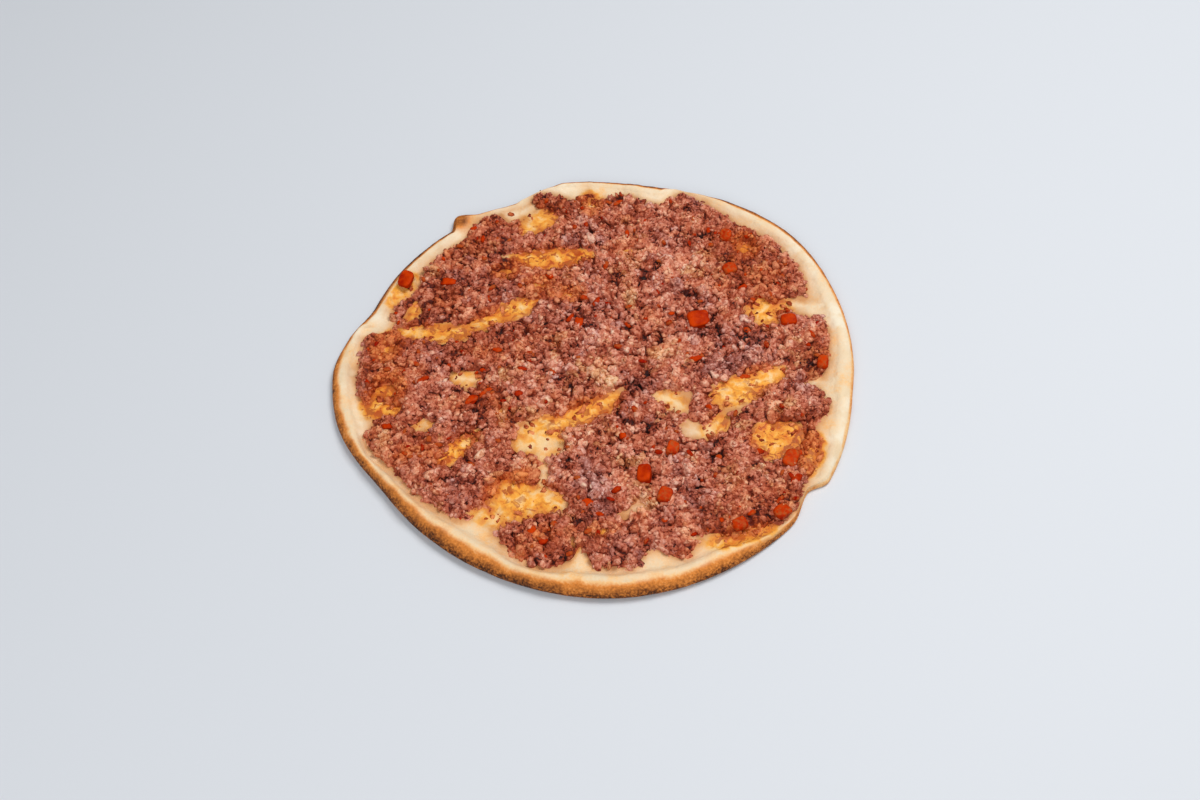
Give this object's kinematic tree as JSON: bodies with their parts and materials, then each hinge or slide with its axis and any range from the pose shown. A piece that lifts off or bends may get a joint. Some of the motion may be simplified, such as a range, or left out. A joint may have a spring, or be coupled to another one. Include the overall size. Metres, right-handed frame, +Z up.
{
  "type": "meat pie",
  "caption": "Thin open meat pie: a baked flatbread with a browned raised rim, a pressed layer of minced meat with bare oily patches, and small tomato dice set into it.",
  "frame": {"origin": "under the middle of the bread, on the surface that it rests on", "axes": "+Z up, +X to the right along the widest way, +Y away from the side where the rim is thickest"},
  "size_m": [0.2468, 0.2408, 0.0106],
  "materials": {
    "baked_dough": "dry baked crust",
    "cooked_mince": "moist, slightly glossy",
    "cooked_tomato": "wet"
  },
  "bodies": {
    "root": {"bread": "baked_dough", "minced_meat": "cooked_mince", "tomato_01": "cooked_tomato", "tomato_02": "cooked_tomato", "tomato_03": "cooked_tomato", "tomato_04": "cooked_tomato", "tomato_05": "cooked_tomato", "tomato_06": "cooked_tomato", "tomato_07": "cooked_tomato", "tomato_08": "cooked_tomato", "tomato_09": "cooked_tomato", "tomato_10": "cooked_tomato", "tomato_11": "cooked_tomato", "tomato_12": "cooked_tomato"}
  },
  "joints": []
}
